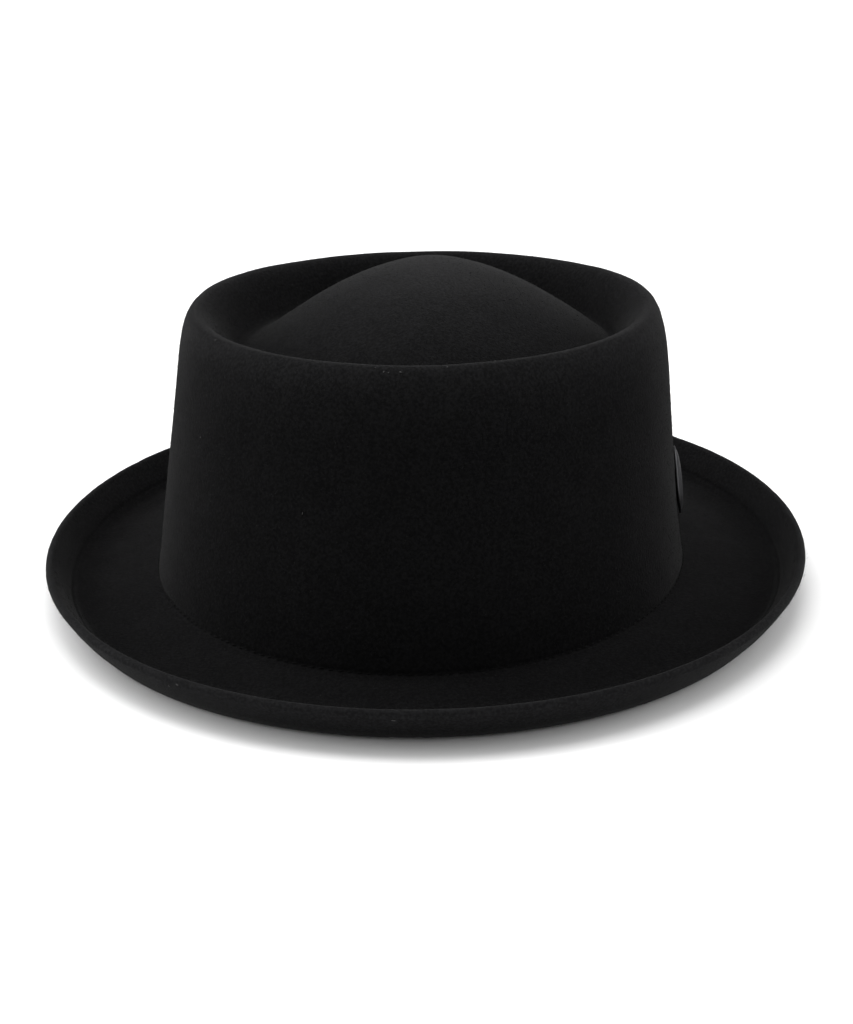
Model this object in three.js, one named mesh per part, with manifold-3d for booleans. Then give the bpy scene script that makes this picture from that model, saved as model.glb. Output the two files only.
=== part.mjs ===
// A black wool-felt pork pie hat, in millimetres, +Z up.
// The origin is on the surface that the hat rests on, under the middle of the brim.
// The front of the hat faces -Y and its wearer's left is +X.
//
// The felt is one skin. Its upper face is a closed cubic B-spline over the rings in the tables below,
// which run from the cut edge of the brim in over the brim, up the crown, over the rim and the groove
// to the top of the dome. The lower face lies one felt thickness inside it, along the surface normal.

import * as THREE from "three";
import { mergeVertices } from "three/addons/utils/BufferGeometryUtils.js";
import Module from "manifold-3d";

// Sizes of the hat
const FELT_THICKNESS = 2.8;
const BRIM_HALF_WIDTH = 121.4; // upper corner of the cut edge, at the sides
const BRIM_HALF_LENGTH = 141.4; // the same at the front and the back
const BRIM_SQUARENESS = -0.004;
const REST_TOP = FELT_THICKNESS; // upper face of the brim where its lower face rests at z = 0
const FRONT_RISE = 3.4; // how far the rim of the crown is lifted at the front
const BACK_DROP = 4.4; // and lowered at the back

// Sizes of what is fastened to it
const SEAT_GAP = 0.3; // clearance between two pieces that touch
const BAND_THICKNESS = 1.2;
const BAND_FOOT = 1; // height of the sweatband's lower edge above the break of the brim
const BAND_HEIGHT = 34;
const BADGE_RADIUS = 11;
const BADGE_RIM = 0.9; // thickness of the badge at its edge
const BADGE_DOME = 1.0; // how far its middle stands above the edge
const BADGE_HEIGHT = 30.8; // height of its centre above the floor
const POST_RADIUS = 1.1;

// How finely the faces are cut
const AROUND = 60;
const POST_SIDES = 12;
const BADGE_SIDES = 32;
const DOME_ROWS = 4;

// A table's rows as objects with the names of its columns.
function table(columns, rows) {
  return rows.map((row) => Object.fromEntries(columns.map((column, i) => [column, row[i]])));
}

// A row for each ring of the brim: how far it lies in from the edge, the height of its upper face, and
// how many steps the surface takes from it to the next ring.
const BRIM = table(["name", "inset", "height", "steps"], [
  ["edge", 0.0, 13.2, 1],
  ["edge_roll", 0.3, 12.7, 1],
  ["lip_face", 2.9, 8.6, 1],
  ["lip_root", 6.4, 4.4, 1],
  ["rest_outer", 8.4, REST_TOP, 1],
  ["rest_a", 10.2, REST_TOP, 1],
  ["rest_b", 12.0, REST_TOP, 1],
  ["rest_c", 13.8, REST_TOP, 1],
  ["rest_inner", 15.8, REST_TOP, 1],
  ["slope_low", 22.4, 3.9, 1],
  ["slope_high", 29.0, 5.6, 1],
]);

// A row for each ring of the crown: its half width and half length, the height of the upper face,
// which part of the lift and drop of the rim it takes, how far its centre lies towards the back and
// the wearer's left, how far its corners are swollen towards a diamond, and the steps to the next ring.
const CROWN = table(["name", "width", "length", "height", "tilt", "back", "left", "diamond", "steps"], [
  ["break_outer", 86.9, 105.8, 6.4, 0, 0, -1.7, 0, 2],
  ["break_inner", 85.3, 104.2, 7.6, 0, 0, -1.7, 0, 2],
  ["wall_foot", 84.6, 103.4, 11.4, 0, 0, -1.6, 0, 1],
  ["wall_low", 83.0, 99.9, 26.2, 0, 0.2, -1.5, 0, 1],
  ["wall_middle", 80.4, 95.1, 49.0, 0.2, 0.7, -0.8, 0, 1],
  ["wall_high", 78.0, 90.8, 70.8, 0.6, 1.2, -0.1, 0.006, 1],
  ["shoulder", 76.2, 88.0, 83.2, 0.9, 1.6, 0, 0.01, 2],
  ["rim_outer", 73.6, 85.0, 90.6, 1, 1.6, 0, 0.01, 2],
  ["rim_inner", 69.5, 80.4, 91.0, 1, 1.6, 0, 0.01, 2],
  ["inner_high", 65.5, 76.0, 85.8, 1, 1.6, 0, 0.01, 1],
  ["inner_low", 62.3, 72.4, 79.2, 0.8, 1.6, 0.4, 0.01, 1],
  ["groove_outer", 58.8, 68.6, 75.0, 0.6, 2.4, 1.2, 0.02, 2],
  ["groove_inner", 53.4, 65.2, 78.4, 0.6, 4.2, 2.4, 0.03, 2],
  ["dome_foot", 43.2, 55.9, 85.4, 0.4, 5.0, 2.6, 0.03, 2],
  ["dome_side", 29.2, 40.8, 94.6, 0.2, 5.0, 2.6, 0.03, 2],
  ["dome_crown", 13.6, 20.9, 100.2, 0, 5.0, 2.4, 0.02, 2],
  ["dome_top", 0, 0, 101.0, 0, 5.0, 2.4, 0, 1],
]);

const RINGS = [
  ...BRIM.map((row) => ({
    ...row,
    width: BRIM_HALF_WIDTH - row.inset,
    length: BRIM_HALF_LENGTH - row.inset,
    tilt: 0,
    back: 0,
    left: 0,
    diamond: row.inset < 14 ? BRIM_SQUARENESS : 0,
  })),
  ...CROWN,
];
const LAST = RINGS.length - 1;

const FELT = new THREE.MeshStandardMaterial({
  name: "black_felt",
  color: 0x161617,
  roughness: 0.95,
  metalness: 0,
});
const BAND = new THREE.MeshStandardMaterial({
  name: "black_band",
  color: 0x121212,
  roughness: 0.6,
  metalness: 0,
});
const BADGE = new THREE.MeshStandardMaterial({
  name: "dark_metal",
  color: 0x2a2b2d,
  roughness: 0.25,
  metalness: 0.9,
});

// The point of one ring at an angle, which is 0 at the front and a quarter turn at the wearer's left.
function ringPoint(index, angle) {
  if (index < 0) {
    const [edge, next] = [ringPoint(0, angle), ringPoint(1, angle)];
    return edge.multiplyScalar(2).sub(next);
  }
  if (index > LAST) {
    return ringPoint(2 * LAST - index, angle + Math.PI);
  }
  const ring = RINGS[index];
  const forward = Math.cos(angle);
  const swell = 1 + ring.diamond * Math.cos(4 * angle);
  const lift = (forward > 0 ? FRONT_RISE : -BACK_DROP) * forward * forward;
  return new THREE.Vector3(
    ring.left + ring.width * Math.sin(angle) * swell,
    ring.back - ring.length * forward * swell,
    ring.height + ring.tilt * lift,
  );
}

// The upper face of the felt at a place along the rings, where whole numbers are the rings themselves.
function upperFace(along, angle) {
  const ring = Math.min(Math.floor(along), LAST - 1);
  const s = along - ring;
  const weights = [
    (1 - s) ** 3 / 6,
    (3 * s ** 3 - 6 * s ** 2 + 4) / 6,
    (-3 * s ** 3 + 3 * s ** 2 + 3 * s + 1) / 6,
    s ** 3 / 6,
  ];
  const point = new THREE.Vector3();
  weights.forEach((weight, i) => point.addScaledVector(ringPoint(ring - 1 + i, angle), weight));
  return point;
}

// The outward normal of the upper face.
function upperNormal(along, angle) {
  const step = 1e-3;
  if (along > LAST - step) {
    return new THREE.Vector3(0, 0, 1);
  }
  const before = upperFace(Math.max(along - step, 0), angle);
  const inward = upperFace(along + step, angle).sub(before);
  const around = upperFace(along, angle + step).sub(upperFace(along, angle - step));
  return around.cross(inward).normalize();
}

// A point at a depth below the upper face.
function skinPoint(along, angle, depth) {
  return upperFace(along, angle).addScaledVector(upperNormal(along, angle), -depth);
}

// The places along the rings where a face has a row of corners.
function feltRows() {
  const rows = [];
  for (let ring = 0; ring < LAST; ring += 1) {
    for (let step = 0; step < RINGS[ring].steps; step += 1) {
      rows.push(ring + step / RINGS[ring].steps);
    }
  }
  return rows;
}

// The place between two rings where the upper face reaches a height, at the wearer's left.
function alongAtHeight(height, from, to) {
  let [low, high] = [from, to];
  for (let i = 0; i < 40; i += 1) {
    const middle = (low + high) / 2;
    if (upperFace(middle, Math.PI / 2).z < height) {
      low = middle;
    } else {
      high = middle;
    }
  }
  return (low + high) / 2;
}

function ringIndex(name) {
  return RINGS.findIndex((ring) => ring.name === name);
}

// A closed mesh from a loop of rows, each a ring of corners, with a single corner where a row is a point.
function meshFromRows(rows, closedLoop) {
  const positions = [];
  const starts = rows.map((row) => {
    const start = positions.length / 3;
    row.forEach((point) => positions.push(point.x, point.y, point.z));
    return start;
  });
  const corner = (r, k) => (rows[r].length === 1 ? starts[r] : starts[r] + (k % AROUND));
  const indices = [];
  const pairs = closedLoop ? rows.length : rows.length - 1;
  for (let r = 0; r < pairs; r += 1) {
    const next = (r + 1) % rows.length;
    for (let k = 0; k < AROUND; k += 1) {
      if (rows[next].length > 1) {
        indices.push(corner(r, k), corner(next, k + 1), corner(next, k));
      }
      if (rows[r].length > 1) {
        indices.push(corner(r, k), corner(r, k + 1), corner(next, k + 1));
      }
    }
  }
  const geometry = new THREE.BufferGeometry();
  geometry.setAttribute("position", new THREE.Float32BufferAttribute(positions, 3));
  geometry.setIndex(indices);
  return geometry;
}

function cornersAround(along, depth) {
  return Array.from({ length: AROUND }, (_, k) => skinPoint(along, (2 * Math.PI * k) / AROUND, depth));
}

// The felt runs from the top of the dome under the skin, out to the cut edge, and back over the top.
function feltGeometry() {
  const along = feltRows();
  const upper = along.map((place) => cornersAround(place, 0));
  const lower = along.map((place) => cornersAround(place, FELT_THICKNESS));
  const rows = [
    [skinPoint(LAST, 0, FELT_THICKNESS)],
    ...lower.reverse(),
    ...upper,
    [skinPoint(LAST, 0, 0)],
  ];
  return meshFromRows(rows, false);
}

// The sweatband is a plain strip that stands against the inside of the crown's foot.
function bandGeometry() {
  const breakTop = RINGS[ringIndex("break_inner")].height;
  const wall = [ringIndex("break_inner"), ringIndex("wall_high")];
  const foot = alongAtHeight(breakTop + BAND_FOOT, ...wall);
  const head = alongAtHeight(breakTop + BAND_FOOT + BAND_HEIGHT, ...wall);
  const places = [foot, ...feltRows().filter((place) => place > foot && place < head), head];
  const outside = FELT_THICKNESS + SEAT_GAP;
  const inside = outside + BAND_THICKNESS;
  const rows = [
    ...places.map((place) => cornersAround(place, outside)),
    ...places.reverse().map((place) => cornersAround(place, inside)),
  ];
  return meshFromRows(rows, true);
}

// The badge lies on the +Z side of its own frame, with its back at z = 0 and its post below.
function badgeProfile() {
  const profile = [new THREE.Vector2(0, 0), new THREE.Vector2(BADGE_RADIUS, 0)];
  for (let i = 0; i <= DOME_ROWS; i += 1) {
    const turn = (Math.PI / 2) * (i / DOME_ROWS);
    const height = BADGE_RIM + BADGE_DOME * Math.sin(turn);
    profile.push(new THREE.Vector2(BADGE_RADIUS * Math.cos(turn), height));
  }
  profile[profile.length - 1].x = 0;
  return profile;
}

// Turned about its own axis, then laid with that axis along +Z.
function turned(profile, sides) {
  return new THREE.LatheGeometry(profile, sides).rotateX(Math.PI / 2);
}

function postGeometry(radius, length) {
  const profile = [[0, -length], [radius, -length], [radius, BADGE_RIM / 2], [0, BADGE_RIM / 2]];
  return turned(profile.map(([r, h]) => new THREE.Vector2(r, h)), POST_SIDES);
}

const wasm = await Module();
wasm.setup();

function solidFrom(geometry) {
  const bare = geometry.clone();
  bare.deleteAttribute("normal");
  bare.deleteAttribute("uv");
  const merged = mergeVertices(bare, 1e-5);
  return new wasm.Manifold(new wasm.Mesh({
    numProp: 3,
    vertProperties: new Float32Array(merged.getAttribute("position").array),
    triVerts: new Uint32Array(merged.getIndex().array),
  }));
}

function geometryFrom(solid) {
  const cut = solid.getMesh();
  const geometry = new THREE.BufferGeometry();
  geometry.setAttribute("position", new THREE.BufferAttribute(new Float32Array(cut.vertProperties), 3));
  geometry.setIndex(new THREE.BufferAttribute(new Uint32Array(cut.triVerts), 1));
  return geometry;
}

// The badge's frame: its back one gap outside the felt, facing along the normal of the crown there.
function badgeFrame() {
  const along = alongAtHeight(BADGE_HEIGHT, ringIndex("wall_foot"), ringIndex("wall_high"));
  const place = skinPoint(along, Math.PI / 2, -SEAT_GAP);
  const facing = upperNormal(along, Math.PI / 2);
  const turn = new THREE.Quaternion().setFromUnitVectors(new THREE.Vector3(0, 0, 1), facing);
  return new THREE.Matrix4().compose(place, turn, new THREE.Vector3(1, 1, 1));
}

function namedMesh(name, geometry, material) {
  geometry.computeVertexNormals();
  const mesh = new THREE.Mesh(geometry, material);
  mesh.name = name;
  return mesh;
}

const frame = badgeFrame();
const postLength = SEAT_GAP + FELT_THICKNESS;
const hole = solidFrom(postGeometry(POST_RADIUS + SEAT_GAP, 2 * postLength).applyMatrix4(frame));
const felt = solidFrom(feltGeometry()).subtract(hole);
const post = solidFrom(postGeometry(POST_RADIUS, postLength));
const badge = solidFrom(turned(badgeProfile(), BADGE_SIDES)).add(post);
const badgeMesh = namedMesh("side_badge", geometryFrom(badge), BADGE);
badgeMesh.applyMatrix4(frame);

const hat = new THREE.Group();
hat.name = "pork_pie_hat";
hat.add(namedMesh("felt_body", geometryFrom(felt), FELT));
hat.add(namedMesh("sweatband", bandGeometry(), BAND));
hat.add(badgeMesh);

export default hat;
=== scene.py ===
# A black wool-felt pork pie hat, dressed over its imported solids. Everything is in metres, +Z up.
# The front of the hat faces -Y, its wearer's left is +X, and it rests on z = 0.

import bpy
import numpy as np
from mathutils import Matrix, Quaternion, Vector


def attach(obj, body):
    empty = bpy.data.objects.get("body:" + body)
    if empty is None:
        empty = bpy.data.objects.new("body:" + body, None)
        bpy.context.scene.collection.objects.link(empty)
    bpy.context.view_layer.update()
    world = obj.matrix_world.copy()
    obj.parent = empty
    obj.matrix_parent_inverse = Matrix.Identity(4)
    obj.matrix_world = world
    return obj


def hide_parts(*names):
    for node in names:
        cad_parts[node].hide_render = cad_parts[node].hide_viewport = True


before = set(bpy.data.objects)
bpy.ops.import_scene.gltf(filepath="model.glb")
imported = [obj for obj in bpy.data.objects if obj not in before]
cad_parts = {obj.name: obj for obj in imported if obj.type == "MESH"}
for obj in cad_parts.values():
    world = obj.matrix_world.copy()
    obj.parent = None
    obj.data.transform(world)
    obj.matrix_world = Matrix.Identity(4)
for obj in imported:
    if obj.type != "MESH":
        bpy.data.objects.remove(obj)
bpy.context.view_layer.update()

# The felt body
# Crown and brim are one piece of wool felt, 2.8 mm thick, steamed and pulled over a block with a telescoped
# top. The brim is cut to its oval, and its edge is turned up all round and left raw.

MM = 0.001
FELT_THICKNESS = 2.8
EDGE_ROUNDING = 1.4
FRONT_RISE = 3.4
BACK_DROP = 4.4
FELT_AROUND = 320
STITCH_PLACE = 11.75
STITCH_GROOVE_DEPTH = 0.55
STITCH_GROOVE_WIDTH = 0.4
CREASE_PLACE = 3.0
CREASE_DEPTH = 0.28
CREASE_WIDTH = 0.2
SLOW_WAVE_HEIGHT = 0.16
SLOW_WAVE_SIZE = 34
FINE_WAVE_HEIGHT = 0.05
FINE_WAVE_SIZE = 9
WAVES = 12
RAGGED_HEIGHT = 0.07
RAGGED_SIZE = 5

# Where the rows of the face change their spacing, in places along the rings, and the spacings in
# millimetres
LIP_ROOT = 4
STITCHING_START = 10.6
STITCHING_END = 13
LIP_SPACING = 0.5
BRIM_SPACING = 1.9
STITCHING_SPACING = 0.42
CROWN_SPACING = 1.7
LOWER_SPACING = 3.6
EDGE_STEPS = 5
PROFILE_STEPS = 4000

# Rings of the upper face in millimetres, from the cut edge in to the top of the dome:
# half width, half length, height, share of the rim's lift, shift to the back, shift to the left, diamond
FELT_RINGS = np.array([
    (121.4, 141.4, 13.2, 0, 0, 0, -0.004),
    (121.1, 141.1, 12.7, 0, 0, 0, -0.004),
    (118.5, 138.5, 8.6, 0, 0, 0, -0.004),
    (115.0, 135.0, 4.4, 0, 0, 0, -0.004),
    (113.0, 133.0, 2.8, 0, 0, 0, -0.004),
    (111.2, 131.2, 2.8, 0, 0, 0, -0.004),
    (109.4, 129.4, 2.8, 0, 0, 0, -0.004),
    (107.6, 127.6, 2.8, 0, 0, 0, -0.004),
    (105.6, 125.6, 2.8, 0, 0, 0, 0),
    (99.0, 119.0, 3.9, 0, 0, 0, 0),
    (92.4, 112.4, 5.6, 0, 0, 0, 0),
    (86.9, 105.8, 6.4, 0, 0, -1.7, 0),
    (85.3, 104.2, 7.6, 0, 0, -1.7, 0),
    (84.6, 103.4, 11.4, 0, 0, -1.6, 0),
    (83.0, 99.9, 26.2, 0, 0.2, -1.5, 0),
    (80.4, 95.1, 49.0, 0.2, 0.7, -0.8, 0),
    (78.0, 90.8, 70.8, 0.6, 1.2, -0.1, 0.006),
    (76.2, 88.0, 83.2, 0.9, 1.6, 0, 0.01),
    (73.6, 85.0, 90.6, 1, 1.6, 0, 0.01),
    (69.5, 80.4, 91.0, 1, 1.6, 0, 0.01),
    (65.5, 76.0, 85.8, 1, 1.6, 0, 0.01),
    (62.3, 72.4, 79.2, 0.8, 1.6, 0.4, 0.01),
    (58.8, 68.6, 75.0, 0.6, 2.4, 1.2, 0.02),
    (53.4, 65.2, 78.4, 0.6, 4.2, 2.4, 0.03),
    (43.2, 55.9, 85.4, 0.4, 5.0, 2.6, 0.03),
    (29.2, 40.8, 94.6, 0.2, 5.0, 2.6, 0.03),
    (13.6, 20.9, 100.2, 0, 5.0, 2.4, 0.02),
    (0, 0, 101.0, 0, 5.0, 2.4, 0),
])
DOME_TOP = len(FELT_RINGS) - 1

# Place along the rings, and how much lighter the felt is painted there: painted light and sheen on the lip,
# the rim, the dome and the foot of the crown's wall, with some rubbed nap on the lip and the rim, and
# painted shade in the crease
PAINTED_LIGHT_SHADE_AND_WEAR = np.array([
    (0, 0.9), (1.0, 0.9), (1.5, 0.8), (2.2, 0.5), (2.8, 0.25), (3, -0.1), (3.25, 0.1), (4, 0.05),
    (6, 0), (12, 0.25), (14, 0.2), (16, 0.15), (17, 0.5), (17.6, 1.0), (18.5, 1.0), (20, 0.4),
    (21.5, 0.1), (23, 0.2), (24.5, 0.8), (27, 1.2),
])

# The same painted light, with some rubbed nap, for the outer side of the lip
OUTER_LIP_PAINTED_LIGHT_AND_WEAR = np.array([(0, 1.7), (1.0, 1.6), (2.0, 1.3), (3.5, 0.8), (5, 0)])

BEYOND_EDGE = 2 * FELT_RINGS[0] - FELT_RINGS[1]
BEYOND_TOP = FELT_RINGS[-2] * (-1, -1, 1, 1, 1, 1, 1)
FELT_CAGE = np.vstack([BEYOND_EDGE, FELT_RINGS, BEYOND_TOP])


def ring_corner(ring, angle):
    """Corner of a ring: an ellipse that swells by diamond times cos 4a.

    It is lifted at the front, and lowered at the back, by tilt times the square of cos a.
    """
    width, length, height, tilt, back, left, diamond = np.moveaxis(ring, -1, 0)
    forward = np.cos(angle)
    swell = 1 + diamond * np.cos(4 * angle)
    lift = np.where(forward > 0, FRONT_RISE, -BACK_DROP) * forward ** 2
    x = left + width * np.sin(angle) * swell
    y = back - length * forward * swell
    return np.stack([x, y, height + tilt * lift], -1)


def felt_frame(along, angle):
    """Upper face of the felt, its outward normal and its outward slope, in millimetres.

    Four neighbouring rings are blended with the weights of a uniform cubic B-spline. The slope along the
    rings uses the derivative of those weights, the slope around them a small step of the angle, and the
    normal is the cross product of the two. Angle 0 is the front, a quarter turn is the wearer's left.
    """
    along, angle = np.broadcast_arrays(np.asarray(along, float), np.asarray(angle, float))
    ring = np.minimum(along.astype(int), DOME_TOP - 1)
    s = (along - ring)[..., None]
    weights = np.concatenate([
        (1 - s) ** 3 / 6,
        (3 * s ** 3 - 6 * s ** 2 + 4) / 6,
        (-3 * s ** 3 + 3 * s ** 2 + 3 * s + 1) / 6,
        s ** 3 / 6,
    ], -1)[..., None]
    slopes = np.concatenate([
        -(1 - s) ** 2 / 2,
        (3 * s ** 2 - 4 * s) / 2,
        (-3 * s ** 2 + 2 * s + 1) / 2,
        s ** 2 / 2,
    ], -1)[..., None]
    rows = FELT_CAGE[ring[..., None] + np.arange(4)]
    corners = ring_corner(rows, angle[..., None])
    face = (weights * corners).sum(-2)
    inward = (slopes * corners).sum(-2)
    step = 1e-3
    ahead = ring_corner(rows, angle[..., None] + step)
    behind = ring_corner(rows, angle[..., None] - step)
    around = (weights * (ahead - behind)).sum(-2)
    normal = np.cross(around, inward)
    size = np.linalg.norm(normal, axis=-1, keepdims=True)
    normal = np.where(size > 1e-9, normal / np.maximum(size, 1e-9), (0.0, 0.0, 1.0))
    outward = -inward / np.maximum(np.linalg.norm(inward, axis=-1, keepdims=True), 1e-9)
    return face, normal, outward


def places_by_length(start, end, spacing):
    """Places along the rings so that rows of the face lie one spacing apart at the wearer's left.

    The length of the profile is summed over small steps, and equal lengths are read back from it.
    """
    fine = np.linspace(start, end, PROFILE_STEPS)
    profile = felt_frame(fine, np.pi / 2)[0]
    length = np.concatenate([[0], np.cumsum(np.linalg.norm(np.diff(profile, axis=0), axis=1))])
    count = max(int(round(length[-1] / spacing)), 1)
    return np.interp(np.linspace(0, length[-1], count + 1), length, fine)


def soft_waves(points, size, seed):
    """An uneven field, about -1 to 1: twice the mean of twelve sine waves in random directions."""
    random = np.random.default_rng(seed)
    field = np.zeros(points.shape[:-1])
    for _ in range(WAVES):
        direction = random.normal(size=3)
        direction /= np.linalg.norm(direction)
        turn = 2 * np.pi / (size * random.uniform(0.7, 1.6))
        field += np.sin(points @ direction * turn + random.uniform(0, 2 * np.pi))
    return field * 2 / WAVES


def felt_relief(points, along):
    """How far the upper face stands off its block.

    It is the sum of slow waves and finer ones, less two grooves with the section of a bell curve.
    """
    groove = STITCH_GROOVE_DEPTH * np.exp(-(((along - STITCH_PLACE) / STITCH_GROOVE_WIDTH) ** 2) * 2)
    crease = CREASE_DEPTH * np.exp(-(((along - CREASE_PLACE) / CREASE_WIDTH) ** 2) * 2)
    slow = SLOW_WAVE_HEIGHT * soft_waves(points, SLOW_WAVE_SIZE, 11)
    fine = FINE_WAVE_HEIGHT * soft_waves(points, FINE_WAVE_SIZE, 12)
    return slow + fine - groove - crease


def turned_faces(rows, around):
    """Quads between closed rows of corners, with a fan to one corner before them and one after them."""
    row = 1 + np.arange(rows - 1)[:, None] * around
    k = np.arange(around)[None]
    n = (np.arange(around)[None] + 1) % around
    quads = np.stack([row + k, row + n, row + around + n, row + around + k], -1).reshape(-1, 4)
    k, n = k[0], n[0]
    last = 1 + (rows - 1) * around
    first_fan = np.stack([np.zeros(around, int), 1 + n, 1 + k], -1)
    last_fan = np.stack([np.full(around, last + around), last + k, last + n], -1)
    return quads.tolist() + first_fan.tolist() + last_fan.tolist()


def new_piece(name, corners, faces, body="root"):
    """A smooth mesh object from corners in millimetres, riding on a body."""
    mesh = bpy.data.meshes.new(name)
    mesh.from_pydata((np.asarray(corners, float).reshape(-1, 3) * MM).tolist(), [], faces)
    mesh.shade_smooth()
    mesh.update()
    piece = bpy.data.objects.new(name, mesh)
    bpy.context.scene.collection.objects.link(piece)
    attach(piece, body)
    return piece


def felt_corners():
    """Corners of the felt, from the middle of its inside out to the cut edge and back to the dome.

    The lower face lies one felt thickness inside the upper one along the normal. The two corners of the
    cut edge are quarter circles in the plane of the normal and the outward slope. With the corners comes
    the number of rows, and the painted light and shade, with some rubbed nap, at each corner.
    """
    angle = np.linspace(0, 2 * np.pi, FELT_AROUND, endpoint=False)
    start = places_by_length(0, 2, EDGE_ROUNDING)[1]
    lip = places_by_length(start, LIP_ROOT, LIP_SPACING)
    brim = places_by_length(LIP_ROOT, STITCHING_START, BRIM_SPACING)
    stitched = places_by_length(STITCHING_START, STITCHING_END, STITCHING_SPACING)
    crown = places_by_length(STITCHING_END, DOME_TOP, CROWN_SPACING)[:-1]
    upper_rows = np.concatenate([lip[:-1], brim[:-1], stitched[:-1], crown])
    lower_rows = places_by_length(start, DOME_TOP, LOWER_SPACING)[:-1]

    face, normal, _ = felt_frame(upper_rows[:, None], angle)
    upper = face + normal * felt_relief(face, upper_rows[:, None])[..., None]
    face, normal, _ = felt_frame(lower_rows[:, None], angle)
    lower = face - normal * FELT_THICKNESS

    face, normal, outward = felt_frame(np.zeros(1), angle[:, None])
    face, normal, outward = (part[:, 0] for part in (face, normal, outward))
    turn = np.linspace(0, np.pi / 2, EDGE_STEPS)[:, None, None]
    shift = EDGE_ROUNDING * (np.sin(turn) - 1)
    depth = EDGE_ROUNDING * (1 - np.cos(turn))
    upper_edge = face + outward * shift - normal * depth
    lower_edge = face + outward * shift - normal * (FELT_THICKNESS - depth)
    ragged = RAGGED_HEIGHT * soft_waves(face, RAGGED_SIZE, 13)[:, None] * outward
    rows = np.concatenate([lower[::-1], lower_edge[1:] + ragged, upper_edge[::-1][1:-1] + ragged, upper])
    top, up, _ = felt_frame(DOME_TOP, 0.0)
    corners = np.concatenate([[top - up * FELT_THICKNESS], rows.reshape(-1, 3), [top]])
    lower_tone = np.interp(lower_rows[::-1], *OUTER_LIP_PAINTED_LIGHT_AND_WEAR.T)
    edge_tone = np.linspace(OUTER_LIP_PAINTED_LIGHT_AND_WEAR[0, 1], PAINTED_LIGHT_SHADE_AND_WEAR[0, 1], 2 * EDGE_STEPS - 3)
    row_tone = np.concatenate([lower_tone, edge_tone, np.interp(upper_rows, *PAINTED_LIGHT_SHADE_AND_WEAR.T)])
    tone = np.concatenate([[0], np.repeat(row_tone, FELT_AROUND), [PAINTED_LIGHT_SHADE_AND_WEAR[-1, 1]]])
    return corners, len(rows), tone


felt_points, felt_rows, felt_tone = felt_corners()
felt = new_piece("felt_skin", felt_points, turned_faces(felt_rows, FELT_AROUND))
# Each corner carries its painted light and shade, with some rubbed nap, as a point attribute
nap_tone = felt.data.attributes.new("nap_tone", "FLOAT", "POINT")
nap_tone.data.foreach_set("value", felt_tone.astype(np.float32))


def node_maker(material):
    """Returns a function that adds one node of a kind with its settings and the values of its inputs."""
    material.use_nodes = True
    tree = material.node_tree
    tree.nodes.clear()

    def add(kind, settings=None, **inputs):
        node = tree.nodes.new(kind)
        for key, value in (settings or {}).items():
            setattr(node, key, value)
        for key, value in inputs.items():
            socket = node.inputs[key.replace("_", " ")]
            if isinstance(value, bpy.types.NodeSocket):
                tree.links.new(value, socket)
            else:
                socket.default_value = value
        return node

    return add


def wool_felt():
    """Black wool felt, flecked at 1 mm and faintly clouded at 10 mm, with painted light, painted shade and
    some rubbed nap.

    The nap's bump is noise of 0.7 mm tufts under noise of 0.3 mm fibres.
    """
    material = bpy.data.materials.new("black_wool_felt")
    add = node_maker(material)
    place = add("ShaderNodeTexCoord").outputs["Object"]
    cloud = add("ShaderNodeTexNoise", Vector=place, Scale=100.0, Detail=2.0, Roughness=0.5).outputs["Fac"]
    fleck = add("ShaderNodeTexNoise", Vector=place, Scale=1100.0, Detail=2.0, Roughness=0.6).outputs["Fac"]
    mixed = add("ShaderNodeMix", {"data_type": "FLOAT"}, Factor=0.85, A=cloud, B=fleck).outputs["Result"]
    tint = add("ShaderNodeValToRGB", Fac=mixed)
    tint.color_ramp.elements[0].position = 0.40
    tint.color_ramp.elements[0].color = (0.0031, 0.0031, 0.0032, 1)
    tint.color_ramp.elements[1].position = 0.64
    tint.color_ramp.elements[1].color = (0.0053, 0.0053, 0.0055, 1)
    # Painted light and sheen lighten the lip, rim, dome and lower wall, and painted shade darkens the
    # crease
    tone = add("ShaderNodeAttribute", {"attribute_name": "nap_tone"}).outputs["Fac"]
    lighter = add("ShaderNodeMapRange", {"clamp": False}, Value=tone)
    lighter.inputs["To Min"].default_value = 1.0
    lighter.inputs["To Max"].default_value = 2.0
    lit_shaded_and_worn_colour = add("ShaderNodeMix", {"data_type": "RGBA", "blend_type": "MULTIPLY", "clamp_result": False})
    lit_shaded_and_worn_colour.inputs["Factor"].default_value = 1.0
    links = material.node_tree.links
    links.new(tint.outputs["Color"], lit_shaded_and_worn_colour.inputs["A"])
    links.new(lighter.outputs["Result"], lit_shaded_and_worn_colour.inputs["B"])
    tuft = add("ShaderNodeTexNoise", Vector=place, Scale=1400.0, Detail=2.0, Roughness=0.5).outputs["Fac"]
    fibre = add("ShaderNodeTexNoise", Vector=place, Scale=3000.0, Detail=2.0, Roughness=0.7).outputs["Fac"]
    coarse = add("ShaderNodeBump", Height=tuft, Strength=0.35, Distance=0.0004).outputs["Normal"]
    nap = add("ShaderNodeBump", Height=fibre, Strength=0.5, Distance=0.0002, Normal=coarse)
    shader = add("ShaderNodeBsdfPrincipled", Normal=nap.outputs["Normal"], Roughness=0.95)
    links.new(lit_shaded_and_worn_colour.outputs["Result"], shader.inputs["Base Color"])
    shader.inputs["Specular IOR Level"].default_value = 0.0
    shader.inputs["Sheen Weight"].default_value = 0.048
    shader.inputs["Sheen Roughness"].default_value = 0.3
    add("ShaderNodeOutputMaterial", Surface=shader.outputs["BSDF"])
    return material


felt.data.materials.append(wool_felt())
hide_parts("felt_body")

# Loose fibres of the felt
# Short ends of wool stand out of the felt all over, most of them flat to it, and blur its outline.

FIBRE_COUNT = 56000
FIBRE_LENGTH = 0.9
FIBRE_WIDTH = 0.045
CANDIDATES = 16
LIP_END = 1.6
LIP_FRAY = 6.0
UNDER_SHARE = 0.2
UNDER_END = 10.5
ABOVE_TABLE = 0.02


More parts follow.
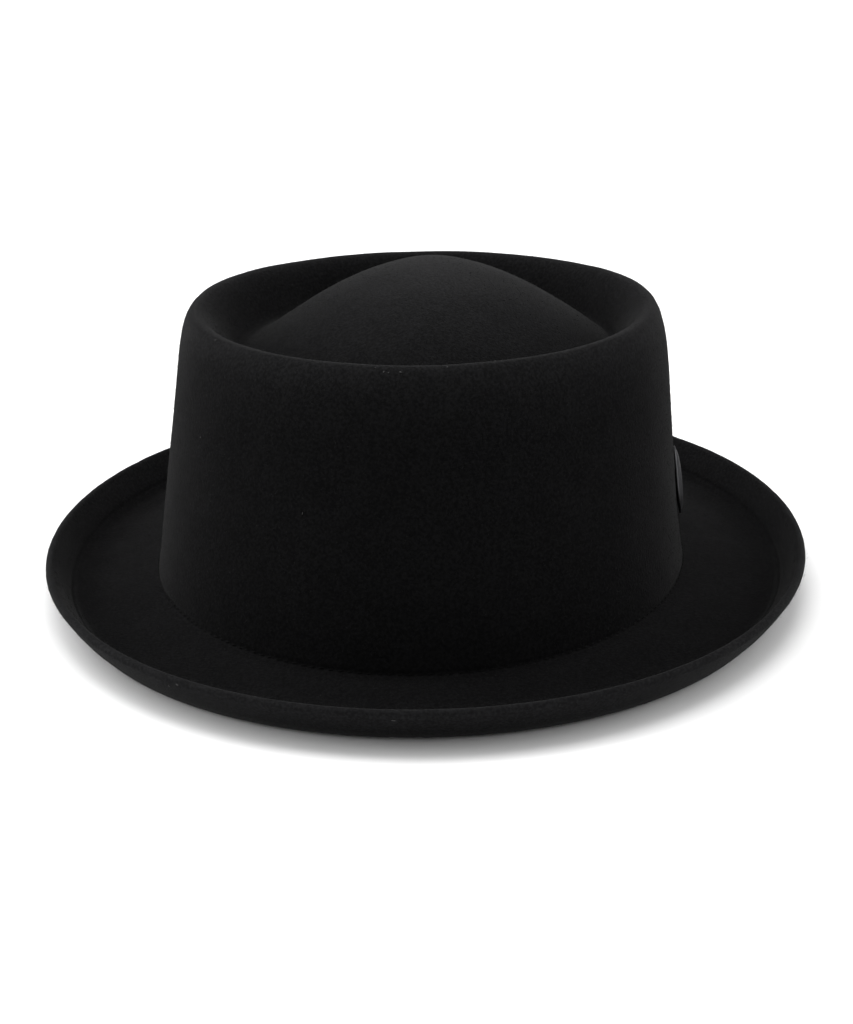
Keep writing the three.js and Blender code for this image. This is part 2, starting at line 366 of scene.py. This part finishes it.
def scattered(count, seed):
    """Roots and normals spread evenly over the felt's upper face, a fifth of the brim's on its lower one.

    Candidates are kept in proportion to the area of the face round them, which is the size of the cross
    product of its two slopes, and several times as often on the frayed lip. The random source comes back
    with them, so that later draws follow on.
    """
    random = np.random.default_rng(seed)
    along = random.uniform(0, DOME_TOP, count * CANDIDATES)
    angle = random.uniform(0, 2 * np.pi, count * CANDIDATES)
    step = 1e-3
    face, normal, _ = felt_frame(along, angle)
    ahead = felt_frame(np.minimum(along + step, DOME_TOP), angle)[0] - face
    aside = felt_frame(along, angle + step)[0] - face
    area = np.linalg.norm(np.cross(ahead, aside), axis=1) * np.where(along < LIP_END, LIP_FRAY, 1)
    kept = np.flatnonzero(random.uniform(0, np.quantile(area, 0.98), len(area)) < area)[:count]
    under = (random.uniform(size=len(kept)) < UNDER_SHARE) & (along[kept] < UNDER_END)
    normal = np.where(under[:, None], -1, 1) * normal[kept]
    root = face[kept] + np.where(under[:, None], FELT_THICKNESS * normal, 0)
    return root, normal, random


def fibre_corners():
    """Corners of every fibre, a bent blade of two parts: two at its root, two at its bend and its tip.

    A fibre under the brim that would reach through the table lies flat on it.
    """
    root, normal, random = scattered(FIBRE_COUNT, 31)
    count = len(root)
    aside = random.normal(size=(count, 3))
    aside -= (aside * normal).sum(1, keepdims=True) * normal
    aside /= np.linalg.norm(aside, axis=1, keepdims=True)
    rise = random.uniform(0.1, 0.8, (count, 1))
    length = FIBRE_LENGTH * random.gamma(4, 0.25, (count, 1)).clip(0.3, 2.2)
    first = aside * np.cos(rise) + normal * np.sin(rise)
    curl = np.cross(normal, aside) * random.normal(0, 0.5, (count, 1))
    second = first + (curl - normal * random.uniform(0, 0.5, (count, 1)))
    second /= np.linalg.norm(second, axis=1, keepdims=True)
    bend = root + first * length * 0.5
    tip = bend + second * length * 0.5
    across = np.cross(first, random.normal(size=(count, 3)))
    across *= FIBRE_WIDTH / 2 / np.linalg.norm(across, axis=1, keepdims=True)
    blade = np.stack([root - across, root + across, bend + across * 0.9, bend - across * 0.9, tip], 1)
    blade[..., 2] = np.maximum(blade[..., 2], ABOVE_TABLE)
    return blade


def blade_faces(blades):
    """A quad and a triangle for each blade."""
    start = np.arange(blades)[:, None] * 5
    return (start + [0, 1, 2, 3]).tolist() + (start + [3, 2, 4]).tolist()


blades = fibre_corners()
fibres = new_piece("felt_fibres", blades, blade_faces(len(blades)))


def wool_fibre():
    """Single black wool fibres, a little lighter than the felt because light passes through them."""
    material = bpy.data.materials.new("black_wool_fibre")
    add = node_maker(material)
    place = add("ShaderNodeTexCoord").outputs["Object"]
    mottle = add("ShaderNodeTexNoise", Vector=place, Scale=500.0, Detail=1.0).outputs["Fac"]
    tint = add("ShaderNodeValToRGB", Fac=mottle)
    tint.color_ramp.elements[0].position = 0.35
    tint.color_ramp.elements[0].color = (0.003, 0.003, 0.003, 1)
    tint.color_ramp.elements[1].position = 0.70
    tint.color_ramp.elements[1].color = (0.012, 0.012, 0.012, 1)
    shader = add("ShaderNodeBsdfPrincipled", Roughness=0.7)
    material.node_tree.links.new(tint.outputs["Color"], shader.inputs["Base Color"])
    shader.inputs["Specular IOR Level"].default_value = 0.1
    add("ShaderNodeOutputMaterial", Surface=shader.outputs["BSDF"])
    return material


fibres.data.materials.append(wool_fibre())

# Lint on the felt
# A few pale specks of dust and pilled wool lie on the front of the rim, the dome and the lip.

LINT_AROUND = 8
LINT_ROWS = 5
LINT_HALF_THICKNESS = 0.15
LINT_LIFT = 0.05

# Place along the rings, angle from the front, length and width of the speck in millimetres, turn, and the
# felt's face, 1 for the upper and -1 for the lower
LINT = np.array([
    (18.00, -0.050, 0.9, 0.4, 0.3, 1),
    (18.00, -0.116, 0.7, 0.4, 1.9, 1),
    (17.95, -0.098, 0.6, 0.3, 2.6, 1),
    (18.25, -0.151, 0.5, 0.3, 0.9, 1),
    (18.30, 0.133, 0.5, 0.3, 1.2, 1),
    (18.60, 0.334, 0.8, 0.3, 0.1, 1),
    (18.15, -1.011, 0.9, 0.4, 2.2, 1),
    (26.20, 0.055, 0.6, 0.3, 0.6, 1),
    (24.95, -1.867, 0.6, 0.3, 2.9, 1),
    (15.60, -0.993, 0.6, 0.3, 1.5, 1),
    (15.05, -0.413, 0.9, 0.2, 1.7, 1),
    (0.40, -0.574, 0.9, 0.5, 0.2, -1),
    (1.40, -0.609, 0.7, 0.4, 1.0, -1),
    (1.30, -0.040, 1.4, 0.5, 0.1, -1),
    (7.90, 0.487, 0.8, 0.4, 0.5, 1),
])


def lint_corners():
    """Corners of every speck: a flat round pillow of rows from its underside to its top.

    Its middle lies just off the felt, so that it is sunk into the nap.
    """
    along, angle, length, width, turn, side = LINT.T
    face, normal, outward = felt_frame(along, angle)
    face -= np.where(side < 0, FELT_THICKNESS, 0)[:, None] * normal
    normal = normal * side[:, None]
    across = np.cross(normal, outward)
    long_way = np.cos(turn)[:, None] * across + np.sin(turn)[:, None] * outward
    short_way = np.cross(normal, long_way)
    centre = face + LINT_LIFT * normal
    tilt = np.linspace(-np.pi / 2, np.pi / 2, LINT_ROWS + 2)[1:-1, None]
    around = np.linspace(0, 2 * np.pi, LINT_AROUND, endpoint=False)
    east = (np.cos(tilt) * np.cos(around)).reshape(-1, 1) * length[:, None, None] / 2
    north = (np.cos(tilt) * np.sin(around)).reshape(-1, 1) * width[:, None, None] / 2
    high = (np.sin(tilt) * np.ones(LINT_AROUND)).reshape(-1, 1) * LINT_HALF_THICKNESS
    ring = centre[:, None] + east * long_way[:, None] + north * short_way[:, None] + high * normal[:, None]
    bottom = (centre - LINT_HALF_THICKNESS * normal)[:, None]
    top = (centre + LINT_HALF_THICKNESS * normal)[:, None]
    return np.concatenate([bottom, ring, top], 1)


lint_points = lint_corners()
one_speck = turned_faces(LINT_ROWS, LINT_AROUND)
lint_faces = []
for first in range(0, lint_points.shape[0] * lint_points.shape[1], lint_points.shape[1]):
    lint_faces += [[first + corner for corner in face] for face in one_speck]
lint = new_piece("lint", lint_points, lint_faces)


def pale_lint():
    """Dull grey lint, mottled by fine noise."""
    material = bpy.data.materials.new("pale_lint")
    add = node_maker(material)
    place = add("ShaderNodeTexCoord").outputs["Object"]
    mottle = add("ShaderNodeTexNoise", Vector=place, Scale=4000.0, Detail=1.0).outputs["Fac"]
    tint = add("ShaderNodeValToRGB", Fac=mottle)
    tint.color_ramp.elements[0].position = 0.35
    tint.color_ramp.elements[0].color = (0.014, 0.014, 0.014, 1)
    tint.color_ramp.elements[1].position = 0.65
    tint.color_ramp.elements[1].color = (0.06, 0.06, 0.06, 1)
    shader = add("ShaderNodeBsdfPrincipled", Roughness=0.9)
    material.node_tree.links.new(tint.outputs["Color"], shader.inputs["Base Color"])
    shader.inputs["Specular IOR Level"].default_value = 0.1
    add("ShaderNodeOutputMaterial", Surface=shader.outputs["BSDF"])
    return material


lint.data.materials.append(pale_lint())

# The row of stitches at the break of the brim
# A single black cotton thread is run through the felt where the crown meets the brim. It holds the
# sweatband, and each stitch pulls a little dimple into the felt.

THREAD_RADIUS = 0.17
STITCH_LENGTH = 2.1
STITCH_PITCH = 3.0
STITCH_ARCH = 0.34
STITCH_SLANT = 0.10
THREAD_SIDES = 6
THREAD_STEPS = 6


def stitch_corners():
    """Corners of every stitch: a thin tube along a low arch in the groove, thinner at its two ends.

    The middle line follows the break ring by its length. It rises by the cosine of its own length, which
    runs over half a turn.
    """
    angle = np.linspace(-0.5, 2 * np.pi + 0.5, 4001)
    ring = felt_frame(STITCH_PLACE, angle)[0]
    length = np.concatenate([[0], np.cumsum(np.linalg.norm(np.diff(ring, axis=0), axis=1))])
    first, last = np.interp((0, 2 * np.pi), angle, length)
    count = int(round((last - first) / STITCH_PITCH))
    random = np.random.default_rng(21)
    middle = first + (np.arange(count) + random.uniform(-0.06, 0.06, count)) * (last - first) / count
    part = np.linspace(-0.5, 0.5, THREAD_STEPS + 1)
    along_thread = middle[:, None] + part * STITCH_LENGTH * random.uniform(0.9, 1.06, count)[:, None]
    turn = np.interp(along_thread, length, angle)
    slant = STITCH_PLACE + STITCH_SLANT * part + random.uniform(-0.03, 0.03, count)[:, None]
    face, normal, outward = felt_frame(slant, turn)
    rise = -STITCH_GROOVE_DEPTH + STITCH_ARCH * np.cos(np.pi * part)[None, :, None]
    centre = face + normal * rise
    sides = np.linspace(0, 2 * np.pi, THREAD_SIDES, endpoint=False)
    radius = THREAD_RADIUS * np.clip(1.15 * np.cos(np.pi * part), 0.3, 1)[None, :, None, None]
    spread = np.cos(sides)[:, None] * normal[:, :, None] + np.sin(sides)[:, None] * outward[:, :, None]
    return centre[:, :, None] + radius * spread


def tube_faces(tubes, steps, sides):
    """Quads round each tube and one cap at each end, for corners ordered by tube, step and side."""
    tube = np.arange(tubes)[:, None, None] * (steps + 1) * sides
    step = np.arange(steps)[None, :, None] * sides
    side = np.arange(sides)[None, None]
    after = (side + 1) % sides
    base = tube + step
    quads = np.stack([base + side, base + after, base + sides + after, base + sides + side], -1)
    end = tube[:, 0] + np.arange(sides) + steps * sides
    start = tube[:, 0] + np.arange(sides)[::-1]
    return quads.reshape(-1, 4).tolist() + start.tolist() + end.tolist()


thread_corners = stitch_corners()
thread_faces = tube_faces(len(thread_corners), THREAD_STEPS, THREAD_SIDES)
stitches = new_piece("break_stitches", thread_corners, thread_faces)


def black_thread():
    """Black cotton thread with the slight gloss of its twist."""
    material = bpy.data.materials.new("black_thread")
    add = node_maker(material)
    place = add("ShaderNodeTexCoord").outputs["Object"]
    twist = add("ShaderNodeTexNoise", Vector=place, Scale=3500.0, Detail=2.0).outputs["Fac"]
    bump = add("ShaderNodeBump", Height=twist, Strength=0.5, Distance=0.0001).outputs["Normal"]
    shader = add("ShaderNodeBsdfPrincipled", Normal=bump, Roughness=0.9)
    shader.inputs["Base Color"].default_value = (0.004, 0.004, 0.004, 1)
    shader.inputs["Specular IOR Level"].default_value = 0.05
    add("ShaderNodeOutputMaterial", Surface=shader.outputs["BSDF"])
    return material


stitches.data.materials.append(black_thread())

# The sweatband
# A plain strip of black grosgrain ribbon, 34 mm wide, stands inside the foot of the crown. Its ribs run
# up and down, and its two long edges are woven a little thicker.

BAND_GAP = 0.3
BAND_THICKNESS = 1.2
BAND_FOOT_HEIGHT = 8.6
BAND_HEAD_HEIGHT = 42.6
BAND_LENGTH = 571
SELVEDGE_RISE = 0.12
SELVEDGE_WIDTH = 1.2
BAND_EDGE_ROUNDING = 0.5
BAND_AROUND = 360
BAND_ROWS = 16


def place_at_height(height, start, end):
    """Place along the rings where the upper face reaches a height at the wearer's left."""
    fine = np.linspace(start, end, PROFILE_STEPS)
    return np.interp(height, felt_frame(fine, np.pi / 2)[0][:, 2], fine)


def sweatband_corners():
    """A closed loop of rows: up the side next to the felt, over the upper edge and down next to the head.

    Both sides lie at a depth below the felt's upper face, and the side next to the head is fuller at its
    two woven edges by a bell curve. With the corners comes the share of the height of each row.
    """
    angle = np.linspace(0, 2 * np.pi, BAND_AROUND, endpoint=False)
    foot = place_at_height(BAND_FOOT_HEIGHT, 12, 16)
    head = place_at_height(BAND_HEAD_HEIGHT, 12, 16)
    part = (1 - np.cos(np.linspace(0, np.pi, BAND_ROWS + 1))) / 2
    face, normal, _ = felt_frame((foot + (head - foot) * part)[:, None], angle)
    edge = np.minimum(part, 1 - part)[:, None, None] * (BAND_HEAD_HEIGHT - BAND_FOOT_HEIGHT)
    outer = FELT_THICKNESS + BAND_GAP
    selvedge = SELVEDGE_RISE * np.exp(-((edge / SELVEDGE_WIDTH) ** 2))
    middle = outer + BAND_THICKNESS / 2
    round_off = np.sqrt(np.clip(1 - (1 - np.clip(edge / BAND_EDGE_ROUNDING, 0, 1)) ** 2, 0, 1))
    half = (BAND_THICKNESS / 2 - SELVEDGE_RISE) * round_off
    near_felt = face - normal * (middle - half)
    near_head = face - normal * (middle + half + selvedge)
    return np.concatenate([near_felt, near_head[::-1][1:-1]]), part


def looped_faces(rows, around):
    """Quads between closed rows of corners, where the last row joins the first."""
    row = np.arange(rows)[:, None] * around
    following = (np.arange(rows)[:, None] + 1) % rows * around
    k = np.arange(around)[None]
    n = (k + 1) % around
    return np.stack([row + k, row + n, following + n, following + k], -1).reshape(-1, 4).tolist()


band_corners, band_part = sweatband_corners()
band_faces = looped_faces(len(band_corners), BAND_AROUND)
sweatband = new_piece("sweatband_ribbon", band_corners, band_faces)


def lay_ribbon_map(piece):
    """A UV map for the ribbon: u is the distance round the head in metres, v the distance up the band.

    The last face of each row ends one whole turn on, so that the map doesn't run back across it.
    """
    mesh = piece.data
    index = np.empty(len(mesh.loops), int)
    mesh.loops.foreach_get("vertex_index", index)
    row, k = np.divmod(index, BAND_AROUND)
    first = np.repeat(k.reshape(-1, 4)[:, :1], 4, axis=1).reshape(-1)
    k = np.where((k == 0) & (first == BAND_AROUND - 1), BAND_AROUND, k)
    up = np.concatenate([band_part, band_part[::-1][1:-1]])[row]
    round_head = k / BAND_AROUND * BAND_LENGTH
    uv = np.stack([round_head, up * (BAND_HEAD_HEIGHT - BAND_FOOT_HEIGHT)], -1) * MM
    layer = mesh.uv_layers.new(name="ribbon")
    layer.data.foreach_set("uv", uv.astype(np.float32).reshape(-1))


lay_ribbon_map(sweatband)


def grosgrain():
    """Black grosgrain: ribs 0.9 mm apart round the head, crossed by threads 0.35 mm apart."""
    material = bpy.data.materials.new("black_grosgrain")
    add = node_maker(material)
    ribbon = add("ShaderNodeUVMap", {"uv_map": "ribbon"}).outputs["UV"]
    across_ribs = {"wave_type": "BANDS", "bands_direction": "X"}
    rib = add("ShaderNodeTexWave", across_ribs, Vector=ribbon, Scale=349.0)
    across_threads = {"wave_type": "BANDS", "bands_direction": "Y"}
    cross = add("ShaderNodeTexWave", across_threads, Vector=ribbon, Scale=897.0)
    fuzz = add("ShaderNodeTexNoise", Vector=ribbon, Scale=1200.0, Detail=3.0)
    # The ribs' crests are painted lighter and the hollows between them darker: painted light and shade that
    # follow the ribs' bump
    tint = add("ShaderNodeValToRGB", Fac=rib.outputs["Fac"])
    tint.color_ramp.elements[0].color = (0.005, 0.005, 0.005, 1)
    tint.color_ramp.elements[1].color = (0.014, 0.014, 0.014, 1)
    ribs = add("ShaderNodeBump", Height=rib.outputs["Fac"], Strength=0.8, Distance=0.0003)
    threads = add("ShaderNodeBump", Height=cross.outputs["Fac"], Strength=0.3, Distance=0.0001)
    loose = add("ShaderNodeBump", Height=fuzz.outputs["Fac"], Strength=0.3, Distance=0.0001)
    links = material.node_tree.links
    links.new(ribs.outputs["Normal"], threads.inputs["Normal"])
    links.new(threads.outputs["Normal"], loose.inputs["Normal"])
    shader = add("ShaderNodeBsdfPrincipled", Normal=loose.outputs["Normal"], Roughness=0.6)
    links.new(tint.outputs["Color"], shader.inputs["Base Color"])
    shader.inputs["Sheen Weight"].default_value = 0.1
    add("ShaderNodeOutputMaterial", Surface=shader.outputs["BSDF"])
    return material


sweatband.data.materials.append(grosgrain())
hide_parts("sweatband")

# The side badge
# A small pressed disc of polished dark metal, 22 mm across, sits low on the wearer's left. Its face is
# domed, its rim is rolled over, and a post through the felt holds it.

BADGE_RADIUS = 11.0
BADGE_RIM = 0.9
BADGE_DOME = 1.0
BADGE_HEIGHT = 30.8
BADGE_BEND = 0.35
BADGE_TILT = 0.15
POST_RADIUS = 1.1
POST_FLARE = 0.15
RIM_STEPS = 11
DOME_STEPS = 14
RIM_ROLL_WIDTH = 0.5
RIM_ROLL_HEIGHT = 0.4
RIM_MIDDLE = 0.3
DOME_RADIUS = BADGE_RADIUS - 0.9
DOME_FOOT = BADGE_RIM - 0.3
BADGE_AROUND = 96


def badge_profile():
    """Radius and height from the foot of the post, over the flat back and the rolled rim, to the middle.

    The rim is half an ellipse, and the dome a quarter of one.
    """
    post_end = -(BAND_GAP + FELT_THICKNESS)
    post = [(POST_RADIUS, post_end), (POST_RADIUS, -1.0), (POST_RADIUS, -0.05)]
    back = [(POST_RADIUS + POST_FLARE, 0), (4.0, 0.0), (BADGE_RADIUS - 1.2, 0.0)]
    turn = np.linspace(-np.pi / 2, np.pi / 2, RIM_STEPS)
    rim_radius = BADGE_RADIUS - RIM_ROLL_WIDTH + RIM_ROLL_WIDTH * np.cos(turn)
    rim = np.stack([rim_radius, RIM_MIDDLE + RIM_ROLL_HEIGHT * np.sin(turn)], -1)
    radius = np.linspace(DOME_RADIUS, 0.6, DOME_STEPS)
    bulge = np.sqrt(np.clip(1 - (radius / DOME_RADIUS) ** 2, 0, 1))
    dome = np.stack([radius, DOME_FOOT + (BADGE_RIM + BADGE_DOME - DOME_FOOT) * bulge], -1)
    return np.concatenate([post, back, rim, dome])


def badge_corners():
    """The profile turned about the normal of the crown at the badge's place, its back one gap off the felt.

    The disc is bent a little round the crown, by the square of the distance toward its sides, and tilted
    in at its top.
    """
    place = place_at_height(BADGE_HEIGHT, 13, 16)
    face, axis, up = felt_frame(place, np.pi / 2)
    up = -up
    across = np.cross(up, axis)
    profile = badge_profile()
    turn = np.linspace(0, 2 * np.pi, BADGE_AROUND, endpoint=False)
    circle = np.cos(turn)[:, None] * across + np.sin(turn)[:, None] * up
    centre = face + axis * BAND_GAP
    outward = profile[:, 0, None] / BADGE_RADIUS
    settle = BADGE_BEND * (outward * np.cos(turn)) ** 2 + BADGE_TILT * outward * np.sin(turn)
    height = profile[:, 1, None] - settle
    rows = centre + height[..., None] * axis + profile[:, 0, None, None] * circle
    foot = centre + profile[0, 1] * axis
    middle = centre + (BADGE_RIM + BADGE_DOME) * axis
    return np.concatenate([[foot], rows.reshape(-1, 3), [middle]]), len(profile)


badge_points, badge_rows = badge_corners()
badge = new_piece("side_badge_disc", badge_points, turned_faces(badge_rows, BADGE_AROUND))


def dark_metal():
    """Polished gunmetal with faint brushing, which mirrors the room above and the dark brim below."""
    material = bpy.data.materials.new("polished_gunmetal")
    add = node_maker(material)
    place = add("ShaderNodeTexCoord").outputs["Object"]
    worn = add("ShaderNodeTexNoise", Vector=place, Scale=300.0, Detail=4.0).outputs["Fac"]
    rough = add("ShaderNodeMapRange", Value=worn)
    rough.inputs["To Min"].default_value = 0.38
    rough.inputs["To Max"].default_value = 0.50
    bump = add("ShaderNodeBump", Height=worn, Strength=0.05, Distance=0.0002).outputs["Normal"]
    shader = add("ShaderNodeBsdfPrincipled", Normal=bump, Roughness=rough.outputs["Result"], Metallic=1.0)
    shader.inputs["Base Color"].default_value = (0.06, 0.06, 0.062, 1)
    shader.inputs["Specular Tint"].default_value = (0.3, 0.3, 0.3, 1)
    add("ShaderNodeOutputMaterial", Surface=shader.outputs["BSDF"])
    return material


badge.data.materials.append(dark_metal())
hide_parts("side_badge")

# The floor and the light
# A plain pale table stands in an even white room, under large soft lights above, behind and at both sides.

FLOOR_HALF = 12.0
WORLD_STRENGTH = 0.70


def make_floor():
    """A square table top at z = 0."""
    half = FLOOR_HALF
    mesh = bpy.data.meshes.new("floor")
    square = [(-half, -half, 0), (half, -half, 0), (half, half, 0), (-half, half, 0)]
    mesh.from_pydata(square, [], [(0, 1, 2, 3)])
    floor = bpy.data.objects.new("floor", mesh)
    bpy.context.scene.collection.objects.link(floor)
    mesh.materials.append(pale_floor())


def pale_floor():
    """A flat pale table top with the faintest grain."""
    material = bpy.data.materials.new("white_table")
    add = node_maker(material)
    place = add("ShaderNodeTexCoord").outputs["Object"]
    grain = add("ShaderNodeTexNoise", Vector=place, Scale=40.0, Detail=2.0).outputs["Fac"]
    tint = add("ShaderNodeValToRGB", Fac=grain)
    tint.color_ramp.elements[0].color = (0.70, 0.70, 0.70, 1)
    tint.color_ramp.elements[1].color = (0.74, 0.74, 0.74, 1)
    shader = add("ShaderNodeBsdfPrincipled", Roughness=0.85)
    material.node_tree.links.new(tint.outputs["Color"], shader.inputs["Base Color"])
    shader.inputs["Specular IOR Level"].default_value = 0.1
    add("ShaderNodeOutputMaterial", Surface=shader.outputs["BSDF"])
    return material


def soft_sun(name, azimuth, elevation, spread, strength):
    """A far round lamp at an angle from the front round to the wearer's left, with its height and width."""
    around, up = np.radians(azimuth), np.radians(elevation)
    source = Vector((np.sin(around) * np.cos(up), -np.cos(around) * np.cos(up), np.sin(up)))
    lamp = bpy.data.lights.new(name, "SUN")
    lamp.energy = strength
    lamp.angle = np.radians(spread)
    light = bpy.data.objects.new(name, lamp)
    light.rotation_mode = "QUATERNION"
    light.rotation_quaternion = (-source).to_track_quat("-Z", "Y")
    bpy.context.scene.collection.objects.link(light)


def white_room():
    """An evenly lit white room round the table."""
    world = bpy.data.worlds.new("white_room")
    world.use_nodes = True
    background = world.node_tree.nodes["Background"]
    background.inputs["Color"].default_value = (1, 1, 1, 1)
    background.inputs["Strength"].default_value = WORLD_STRENGTH
    bpy.context.scene.world = world


make_floor()
white_room()
bpy.context.scene.view_settings.view_transform = "Standard"
soft_sun("left_back", azimuth=228, elevation=40, spread=40, strength=2.25)
soft_sun("right_back", azimuth=132, elevation=25, spread=40, strength=1.25)
soft_sun("high_back", azimuth=180, elevation=66, spread=40, strength=1.95)
soft_sun("left_low", azimuth=262, elevation=20, spread=40, strength=1.75)
soft_sun("right_low", azimuth=98, elevation=20, spread=40, strength=0.9)

# The camera
# A long lens looks down a little on the front of the hat, a hand's breadth to the wearer's left of it.

CAMERA_PLACE = (0.02719, -0.79954, 0.30733)
CAMERA_AIM = (0.0003, 0.0, 0.020)
CAMERA_LENS = 91.55
CAMERA_ROLL = -0.015

camera_data = bpy.data.cameras.new("camera")
camera_data.lens = CAMERA_LENS
camera_data.clip_start = 0.01
camera = bpy.data.objects.new("camera", camera_data)
camera.location = CAMERA_PLACE
camera.rotation_mode = "QUATERNION"
toward = (Vector(CAMERA_AIM) - Vector(CAMERA_PLACE)).to_track_quat("-Z", "Y")
camera.rotation_quaternion = toward @ Quaternion((0, 0, 1), CAMERA_ROLL)
bpy.context.scene.collection.objects.link(camera)
bpy.context.scene.camera = camera
